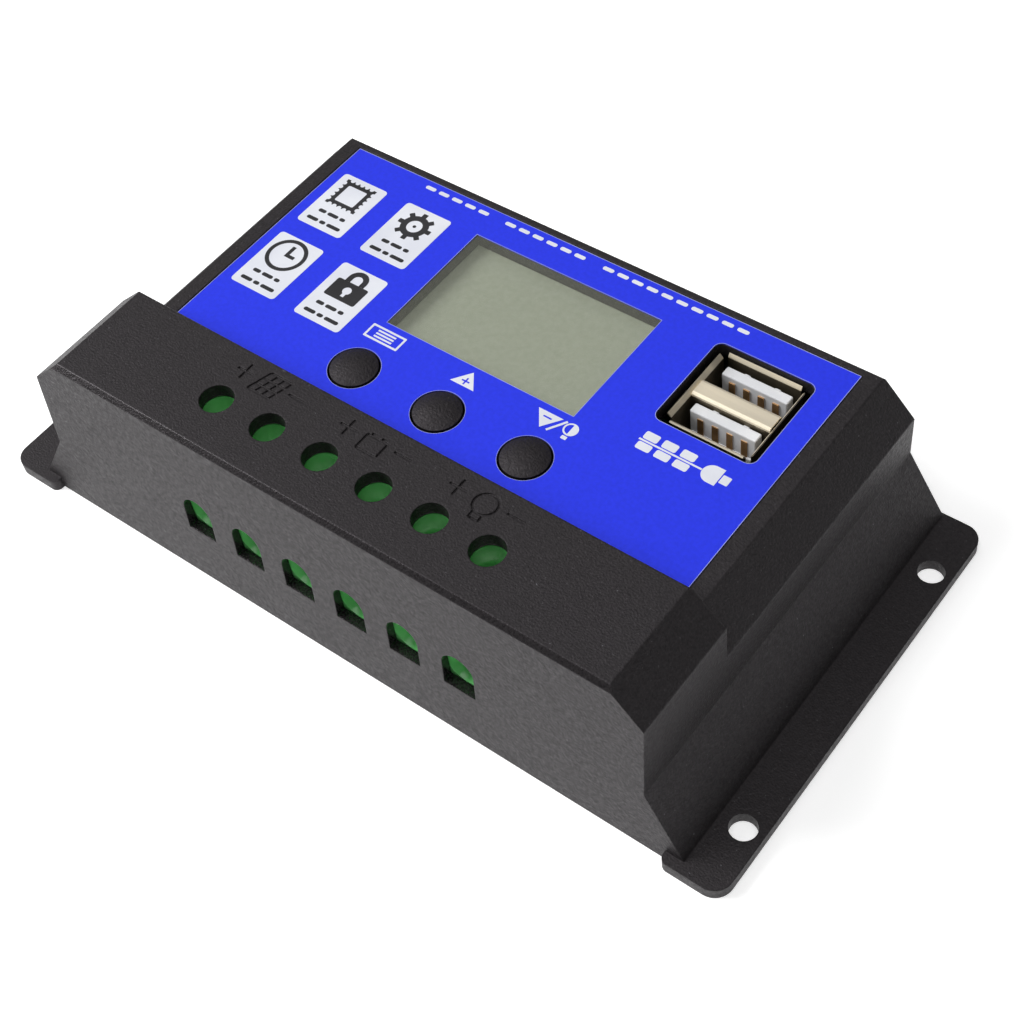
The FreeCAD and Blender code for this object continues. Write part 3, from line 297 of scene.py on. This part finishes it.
def make_finishes():
    """One material for each of the record's material slots, and a few for the added pieces."""
    grain_x = (0.05, 1, 1)
    made = {
        "housing_plastic": housing_plastic(),
        "panel_print": printed_film(),
        "display_glass": smooth_plastic("cell_glass", (0.28, 0.30, 0.22), (0.32, 0.34, 0.26), 0.15),
        "display_polarizer": polariser(),
        "diffuser_white": smooth_plastic("diffuser", (0.80, 0.81, 0.79), (0.88, 0.89, 0.87), 0.5),
        "tray_plastic": smooth_plastic("tray_white", (0.70, 0.70, 0.67), (0.78, 0.78, 0.75), 0.5),
        "tinned_steel": metal("tinned", (0.60, 0.60, 0.58), (0.78, 0.78, 0.76), 0.3),
        "button_plastic": moulded("button_black", (0.006, 0.005, 0.006), (0.013, 0.011, 0.012), 0.5, 0.7,
                                  2600, 0.15 * MM),
        "switch_plastic": smooth_plastic("switch_black", (0.02, 0.02, 0.02), (0.035, 0.035, 0.035), 0.4),
        "nickel_steel": metal("nickel", (0.84, 0.76, 0.60), (0.94, 0.86, 0.70), 0.58, grain_x),
        # A darker copy of the nickel for the ports' lower inner walls: painted shade
        "nickel_painted_shade": metal("nickel_painted_shade", (0.13, 0.11, 0.08), (0.20, 0.17, 0.12), 0.5, grain_x),
        "socket_white": smooth_plastic("socket_white", (0.72, 0.73, 0.76), (0.82, 0.83, 0.85), 0.32),
        "contact_brass": metal("contact_brass", (0.52, 0.31, 0.15), (0.70, 0.44, 0.22), 0.55),
        "terminal_green": smooth_plastic("terminal_green", (0.14, 0.58, 0.16), (0.20, 0.72, 0.23), 0.2),
        "zinc_steel": metal("zinc_plate", (0.52, 0.52, 0.50), (0.72, 0.72, 0.70), 0.3),
        "black_steel": metal("black_oxide", (0.03, 0.03, 0.03), (0.06, 0.06, 0.06), 0.35),
        "board_laminate": smooth_plastic("solder_mask", (0.008, 0.10, 0.035), (0.014, 0.15, 0.055), 0.3),
        "chip_epoxy": moulded("chip_epoxy", (0.018, 0.018, 0.019), (0.032, 0.032, 0.034), 0.5, 0.7,
                              3000, 0.02 * MM),
        "can_aluminium": metal("drawn_aluminium", (0.66, 0.67, 0.68), (0.82, 0.83, 0.84), 0.3, grain_x),
        "rubber_bung": smooth_plastic("bung_rubber", (0.02, 0.02, 0.02), (0.035, 0.035, 0.035), 0.7),
        "ferrite": moulded("ferrite", (0.045, 0.045, 0.05), (0.08, 0.08, 0.085), 0.5, 0.75, 2400),
        "copper_wire": metal("enamelled_copper", (0.50, 0.20, 0.08), (0.66, 0.30, 0.13), 0.25, (1, 1, 0.2)),
        "fuse_plastic": smooth_plastic("fuse_red", (0.55, 0.03, 0.02), (0.68, 0.06, 0.04), 0.25),
        "shunt_alloy": metal("shunt_alloy", (0.42, 0.36, 0.30), (0.56, 0.49, 0.42), 0.35, grain_x),
        "pad_silicone": moulded("pad_silicone", (0.30, 0.31, 0.34), (0.38, 0.39, 0.42), 0.6, 0.8, 1500),
        "plate_paint": moulded("plate_coating", (0.020, 0.020, 0.021), (0.035, 0.035, 0.036), 0.4, 0.6, 1800),
        "print_white": smooth_plastic("ink_white", (0.74, 0.76, 0.84), (0.82, 0.84, 0.90), 0.45),
        "print_dark": smooth_plastic("ink_dark", (0.012, 0.012, 0.014), (0.022, 0.022, 0.026), 0.45),
        "clear_film": clear_film(),
        # The cut edges' pale band: partly the edge's own whitish tone, partly a painted highlight
        "cut_edge_and_highlight": smooth_plastic("film_edge_and_highlight", (0.30, 0.34, 0.78), (0.40, 0.44, 0.86), 0.3),
    }
    return {slot: surface.material for slot, surface in made.items()}


def dress_nodes(finishes):
    """Gives every CAD node its slot's material."""
    for part in frame["record"]["subparts"]:
        piece = frame["nodes"][part["node"]]
        piece.data.materials.clear()
        piece.data.materials.append(finishes[part["material_slot"]])


# Outlines in the panel's plane, in millimetres

def arc(x, y, radius, start, end, steps=12):
    """Points round part of a circle, angles in degrees."""
    angles = [math.radians(start + (end - start) * i / steps) for i in range(steps + 1)]
    return [(x + radius * math.cos(a), y + radius * math.sin(a)) for a in angles]


def disc(x, y, radius):
    """A full circle."""
    return arc(x, y, radius, 0, 360, 48)[:-1]


def rounded(x0, x1, y0, y1, radius):
    """A rectangle with round corners."""
    corners = ((x1 - radius, y0 + radius), (x1 - radius, y1 - radius), (x0 + radius, y1 - radius),
               (x0 + radius, y0 + radius))
    outline = []
    for quarter, (x, y) in enumerate(corners):
        outline += arc(x, y, radius, 90 * quarter - 90, 90 * quarter, 6)
    return outline


def line(x0, y0, x1, y1, width):
    """A straight stroke with square ends."""
    length = math.hypot(x1 - x0, y1 - y0)
    across = (-(y1 - y0) / length * width / 2, (x1 - x0) / length * width / 2)
    return [(x0 + across[0], y0 + across[1]), (x0 - across[0], y0 - across[1]),
            (x1 - across[0], y1 - across[1]), (x1 + across[0], y1 + across[1])]


def plus(x, y, half, width):
    """A plus sign whose arms reach half from its centre."""
    w = width / 2
    return [(x - half, y - w), (x - w, y - w), (x - w, y - half), (x + w, y - half), (x + w, y - w),
            (x + half, y - w), (x + half, y + w), (x + w, y + w), (x + w, y + half), (x - w, y + half),
            (x - w, y + w), (x - half, y + w)]


def toothed_ring(x, y, root, tip, teeth, width):
    """The outline of a gear: an arc between teeth, and square teeth of the given width."""
    half = math.degrees(math.asin(width / 2 / root))
    tip_half = math.degrees(math.asin(width / 2 / tip))
    outline = []
    for tooth in range(teeth):
        middle = 360 / teeth * tooth
        outline += arc(x, y, tip, middle - tip_half, middle + tip_half, 2)
        outline += arc(x, y, root, middle + half, middle + 360 / teeth - half, 5)
    return outline


def notched_square(x, y, half, depth, notches):
    """A square whose sides carry round notches, with its corners kept."""
    step = 2 * half / (notches + 1)
    radius = min(depth, step * 0.42)
    outline = []
    for side in range(4):
        turn = math.radians(90 * side)
        side_points = [(-half, -half)]
        for notch in range(1, notches + 1):
            side_points += arc(-half + step * notch, -half, radius, 180, 0, 6)
            side_points.append((-half + step * notch + radius, -half))
        outline += [(x + a * math.cos(turn) - b * math.sin(turn), y + a * math.sin(turn) + b * math.cos(turn))
                    for a, b in side_points]
    return outline


# Pieces

def as_mesh(whole, name):
    """The finished mesh of a bmesh, which is freed."""
    mesh = bpy.data.meshes.new(name)
    whole.to_mesh(mesh)
    whole.free()
    return mesh


def block(whole, x0, x1, y0, y1, z0, z1):
    """Adds a plain block to a bmesh."""
    made = bmesh.ops.create_cube(whole, size=1.0)["verts"]
    bmesh.ops.scale(whole, vec=(x1 - x0, y1 - y0, z1 - z0), verts=made)
    bmesh.ops.translate(whole, vec=((x0 + x1) / 2, (y0 + y1) / 2, (z0 + z1) / 2), verts=made)


def ease_edges(piece, width):
    """Rounds a piece's edges."""
    bevel = piece.modifiers.new("eased", "BEVEL")
    bevel.width = width
    bevel.segments = 3


def add_piece(name, mesh, finish):
    """A visible piece that rides on the housing."""
    mesh.materials.append(finish)
    piece = bpy.data.objects.new(name, mesh)
    scene.collection.objects.link(piece)
    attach(piece, "housing")
    return piece


def printed(name, shapes, level, finish):
    """Flat ink: each shape is an outline with its holes after it. Level is the ink's underside."""
    whole = bmesh.new()
    for loops in shapes:
        curve = bpy.data.curves.new(name, "CURVE")
        curve.dimensions = "2D"
        curve.fill_mode = "BOTH"
        curve.extrude = PRINT_THICK / 2
        for loop in loops:
            spline = curve.splines.new("POLY")
            spline.points.add(len(loop) - 1)
            for point, (x, y) in zip(spline.points, loop):
                point.co = (x * MM, y * MM, 0, 1)
            spline.use_cyclic_u = True
        holder = bpy.data.objects.new(name, curve)
        flat = bpy.data.meshes.new_from_object(holder)
        flat.transform(Matrix.Translation((0, 0, level + PRINT_THICK / 2)))
        whole.from_mesh(flat)
        bpy.data.objects.remove(holder)
        bpy.data.curves.remove(curve)
        bpy.data.meshes.remove(flat)
    add_piece(name, as_mesh(whole, name), finish)


# Printed panel, in millimetres

WINDOW_MARGIN = 1.0                      # of the polariser, hidden under the film's print
SOCKET_HOLE = (28.8, 47.15, 12.6, 31.5)  # x0, x1, y0, y1
SOCKET_HOLE_CORNER = 1.5
# The pale rings and edge bands: the film's cut edge and a painted highlight along it
BUTTON_HOLE_EDGE = (4.46, 4.53)          # inner and outer radius of the pale ring
CUT_EDGE_AND_HIGHLIGHT_WIDE = 0.09
RIM_WIDE = 0.1
TILE_WIDE = 9.9
TILE_HIGH = 13.6
TILE_CORNER = 0.7
TILE_COLUMNS = (-44.5, -30.05)
TILE_ROWS = (6.45, 23.7)


def tile_outlines():
    """Four white labels in two columns."""
    wide, high = TILE_WIDE / 2, TILE_HIGH / 2
    return [[rounded(x - wide, x + wide, y - high, y + high, TILE_CORNER)]
            for x in TILE_COLUMNS for y in TILE_ROWS]


def chip_icon(x, y):
    """A square ring with a notched rim."""
    return [[notched_square(x, y, 3.3, 0.5, 5), rounded(x - 2.1, x + 2.1, y - 2.1, y + 2.1, 0.3)]]


def gear_icon(x, y):
    """A gear with a dot in its bore."""
    return [[toothed_ring(x, y, 2.6, 3.45, 8, 0.95), disc(x, y, 1.45)], [disc(x, y, 0.32)]]


def clock_icon(x, y):
    """A ring with hands at three o'clock."""
    hands = [(x - 0.35, y - 0.35), (x + 1.7, y - 0.35), (x + 1.7, y + 0.35), (x + 0.35, y + 0.35),
             (x + 0.35, y + 2.3), (x - 0.35, y + 2.3)]
    return [[disc(x, y, 3.8), disc(x, y, 3.05)], [hands]]


def lock_icon(x, y):
    """A padlock: y is the top of its body."""
    shackle = [(x - 2.0, y)] + arc(x, y + 0.9, 2.0, 180, 0, 16) + [(x + 2.0, y), (x + 0.95, y)]
    shackle += arc(x, y + 0.9, 0.95, 0, 180, 12) + [(x - 0.95, y)]
    keyhole = arc(x, y - 1.9, 0.85, -65, 245, 20) + [(x - 0.36, y - 3.4), (x + 0.36, y - 3.4)]
    return [[rounded(x - 3.3, x + 3.3, y - 4.3, y - 0.02, 0.4), keyhole], [shackle]]


def dash_line(x, y, widths, height, gap=0.45):
    """A row of round-ended dashes centred on x."""
    left = x - (sum(widths) + gap * (len(widths) - 1)) / 2
    dashes = []
    for wide in widths:
        dashes.append([rounded(left, left + wide, y - height / 2, y + height / 2, height * 0.45)])
        left += wide + gap
    return dashes


def tile_marks():
    """An icon and two rows of dashes on each label."""
    left, right = TILE_COLUMNS
    low, high = TILE_ROWS
    marks = chip_icon(left - 0.2, high + 2.5) + gear_icon(right - 0.1, high + 2.5)
    marks += clock_icon(left - 0.2, low + 2.55) + lock_icon(right, low + 3.45)
    for x in TILE_COLUMNS:
        for y in TILE_ROWS:
            marks += dash_line(x, y - 2.9, (1.6, 2.3, 1.1), 0.75)
            marks += dash_line(x, y - 5.2, (2.4, 1.2, 2.9), 0.75)
    return marks


def title_marks():
    """Three groups of dashes along the back edge."""
    pitch = 2.94
    start = -34.8
    wide = 2.15
    marks = []
    for first, count in ((0, 5), (6, 6), (13, 10)):
        for place in range(first, first + count):
            left = start + place * pitch
            marks.append([rounded(left, left + wide, 34.9, 35.7, 0.36)])
    return marks


def button_marks():
    """A box of bars, an up arrow with a plus, and a down arrow with a minus, a slash and a lamp."""
    marks = [[rounded(-21.3, -14.2, 1.75, 4.85, 0.15), rounded(-20.9, -14.6, 2.15, 4.45, 0.1)]]
    for y in (2.65, 3.3, 3.95):
        marks.append([line(-19.6, y, -15.9, y, 0.36)])
    marks.append([[(-2.8, 1.75), (1.95, 1.75), (-0.42, 4.95)], plus(-0.42, 2.8, 0.75, 0.3)])
    marks.append([[(12.8, 4.75), (17.6, 4.75), (15.2, 1.5)], line(14.4, 3.75, 16.0, 3.75, 0.3)])
    marks.append([line(16.45, 1.6, 18.45, 4.7, 0.42)])
    bulb = (19.75, 3.65)
    marks.append([disc(*bulb, 1.3), arc(*bulb, 1.0, 90, 270, 20)])
    marks.append([rounded(bulb[0] - 0.5, bulb[0] + 0.5, 1.45, 2.15, 0.1)])
    return marks


def socket_marks():
    """Three crossed blocks and a plug beside the socket."""
    marks = []
    for x in (31.2, 34.6, 38.0):
        marks.append([rounded(x - 1.3, x + 1.3, 8.35, 9.95, 0.35)])
        marks.append([rounded(x - 1.3, x + 1.3, 6.15, 7.65, 0.35)])
    marks.append([line(29.6, 8.0, 41.1, 8.0, 0.34)])
    body = [(44.3, 6.3), (44.3, 9.8)] + arc(42.9, 8.05, 1.75, 90, 270, 16)
    marks.append([body])
    marks.append([rounded(44.5, 46.0, 7.2, 8.9, 0.15)])
    return marks


def frame_outline(x0, x1, y0, y1, radius, wide):
    """A thin frame just outside a rectangle with round corners."""
    outer = rounded(x0 - wide, x1 + wide, y0 - wide, y1 + wide, radius + wide)
    return [outer, rounded(x0, x1, y0, y1, radius + 0.01)]


def display_window():
    """The film's clear window over the display: x0, x1, y0, y1."""
    low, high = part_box("display_front_polarizer")
    return (low.x / MM + WINDOW_MARGIN, high.x / MM - WINDOW_MARGIN,
            low.y / MM + WINDOW_MARGIN, high.y / MM - WINDOW_MARGIN)


def film_edges():
    """The film's pale cut edge, with a painted highlight: round its rim, its buttons, its window and its
    socket.
    """
    low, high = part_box("panel_film")
    x0, x1, y0, y1 = low.x / MM, high.x / MM, low.y / MM, high.y / MM
    inside = rounded(x0 + RIM_WIDE, x1 - RIM_WIDE, y0 + RIM_WIDE, y1 - RIM_WIDE, 0.1)
    edges = [[rounded(x0, x1, y0, y1, 0.1), inside]]
    inner, outer = BUTTON_HOLE_EDGE
    for name in ("left", "middle", "right"):
        cap_low, cap_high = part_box("button_cap_" + name)
        middle = ((cap_low.x + cap_high.x) / 2 / MM, (cap_low.y + cap_high.y) / 2 / MM)
        edges.append([disc(*middle, outer), disc(*middle, inner)])
    edges.append(frame_outline(*display_window(), 0.0, CUT_EDGE_AND_HIGHLIGHT_WIDE))
    edges.append(frame_outline(*SOCKET_HOLE, SOCKET_HOLE_CORNER, CUT_EDGE_AND_HIGHLIGHT_WIDE))
    return edges


def make_window(finishes):
    """The film's clear window over the display, with its fine matt finish."""
    low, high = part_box("panel_film")
    x0, x1, y0, y1 = (edge * MM for edge in display_window())
    whole = bmesh.new()
    block(whole, x0, x1, y0, y1, low.z, (low.z + high.z) / 2)
    mesh = as_mesh(whole, "display_window_film")
    add_piece("display_window_film", mesh, finishes["clear_film"])


def make_print(finishes):
    """All the ink on the film; the marks on the labels lie above the labels."""
    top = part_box("panel_film")[1].z + PRINT_GAP
    above = top + PRINT_THICK + PRINT_GAP
    printed("panel_tiles", tile_outlines(), top, finishes["print_white"])
    printed("panel_tile_marks", tile_marks(), above, finishes["print_dark"])
    printed("panel_title_marks", title_marks(), top, finishes["print_white"])
    printed("panel_button_marks", button_marks(), top, finishes["print_white"])
    printed("panel_socket_marks", socket_marks(), top, finishes["print_white"])
    # The band along the cut edges is partly the edge's own tone, partly painted highlight
    printed("panel_cut_edges", film_edges(), top, finishes["cut_edge_and_highlight"])


# USB socket

def sheet_strip(whole, profile, thick, start, end, place):
    """Bent sheet: a centre line in (out, up) given thickness and drawn along a straight run.

    Place turns (run, out, up) into a point of the model.
    """
    sides = ([], [])
    for i, (out, up) in enumerate(profile):
        before = Vector(profile[max(i - 1, 0)])
        after = Vector(profile[min(i + 1, len(profile) - 1)])
        along = (after - before).normalized()
        across = Vector((along.y, -along.x)) * thick / 2
        sides[0].append((out + across.x, up + across.y))
        sides[1].append((out - across.x, up - across.y))
    section = sides[0] + sides[1][::-1]
    rings = [[whole.verts.new(place(run, out, up)) for out, up in section] for run in (start, end)]
    count = len(section)
    for i in range(count):
        j = (i + 1) % count
        whole.faces.new((rings[0][i], rings[0][j], rings[1][j], rings[1][i]))
    half = count // 2
    for ring in rings:
        for i in range(half - 1):
            whole.faces.new((ring[i], ring[i + 1], ring[count - 2 - i], ring[count - 1 - i]))


def make_usb_shell(finishes):
    """The folded shell: four walls with flared lips, and the band between the two ports."""
    low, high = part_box("usb_shell")
    thick = 0.3 * MM
    inner = thick / 2
    corner = 0.8 * MM
    foot = low.z + 0.3 * MM
    top = high.z

    # The walls; the back and right lips flare less
    lip = 0.5 * MM
    bend = top - 0.65 * MM
    wall = [(0, foot), (0, bend), (0.06 * MM, bend + 0.1 * MM), (lip, top - 0.1 * MM), (lip + 0.12 * MM, top)]
    lesser_flare = 0.6
    whole = bmesh.new()
    sheet_strip(whole, wall, thick, low.x + corner, high.x - corner,
                lambda run, out, up: (run, low.y + inner - out, up))
    sheet_strip(whole, wall, thick, low.x + corner, high.x - corner,
                lambda run, out, up: (run, high.y - inner + out * lesser_flare, up))
    sheet_strip(whole, wall, thick, low.y + corner, high.y - corner,
                lambda run, out, up: (low.x + inner - out, run, up))
    sheet_strip(whole, wall, thick, low.y + corner, high.y - corner,
                lambda run, out, up: (high.x - inner + out * lesser_flare, run, up))

    # The band, folded over the gap between the ports
    front, back = 21.0 * MM, 24.3 * MM
    curl = 0.45 * MM
    quarter = [math.radians(angle) for angle in (0, 30, 60, 90)]
    band = [(front, foot), (front, top - curl)]
    band += [(front + curl - curl * math.cos(a), top - curl + curl * math.sin(a)) for a in quarter[1:]]
    band += [(back - curl + curl * math.sin(a), top - curl + curl * math.cos(a)) for a in quarter[:-1]]
    band += [(back, top - curl), (back, foot)]
    sheet_strip(whole, band, thick, low.x + 0.35 * MM, high.x - 0.35 * MM,
                lambda run, out, up: (run, out, up - inner))

    bmesh.ops.recalc_face_normals(whole, faces=whole.faces)
    mesh = as_mesh(whole, "usb_shell_folded")
    piece = add_piece("usb_shell_folded", mesh, finishes["nickel_steel"])
    # Walls below the bend take the darker nickel, a painted shade inside the ports
    mesh.materials.append(finishes["nickel_painted_shade"])
    for face in mesh.polygons:
        face.material_index = int(face.center.z < bend and abs(face.normal.z) < 0.5)
    ease_edges(piece, 0.11 * MM)
    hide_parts("usb_shell")


def make_usb_tongues(finishes):
    """The white insulator: a base and two tongues with eased edges, small ribs behind each."""
    low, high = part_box("usb_insulator")
    floor = low.z + 3.2 * MM
    root = floor - 0.5 * MM
    side = 1.0 * MM
    thick = 1.9 * MM
    contact_low = 4.6 * MM
    whole = bmesh.new()
    block(whole, low.x, high.x, low.y, high.y, low.z, floor)
    for back in (20.6 * MM, high.y - 0.85 * MM):
        front = back - thick
        block(whole, low.x + side, high.x - side, front, back, root, high.z)
        # A step in front of the contacts' lower ends
        block(whole, low.x + side + 0.3 * MM, high.x - side - 0.6 * MM, front - 0.3 * MM, front + 0.5 * MM,
              root, high.z - contact_low)
        for share in (0.3, 0.76):
            middle = low.x + side + share * (high.x - low.x - 2 * side)
            block(whole, middle - 0.6 * MM, middle + 0.6 * MM, back - 0.2 * MM, back + 0.3 * MM,
                  floor, high.z - 0.15 * MM)
    piece = add_piece("usb_tongues", as_mesh(whole, "usb_tongues"), finishes["socket_white"])
    ease_edges(piece, 0.38 * MM)
    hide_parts("usb_insulator")


# The scene

finishes = make_finishes()
make_camera(target=Vector((16.24, -8.45, 18.0)) * MM, azimuth=44.298, elevation=51.798, roll=-8.928,
            distance=0.28122, lens=62.884)
make_floor()
make_studio()
dress_nodes(finishes)
make_print(finishes)
make_window(finishes)
make_usb_shell(finishes)
make_usb_tongues(finishes)
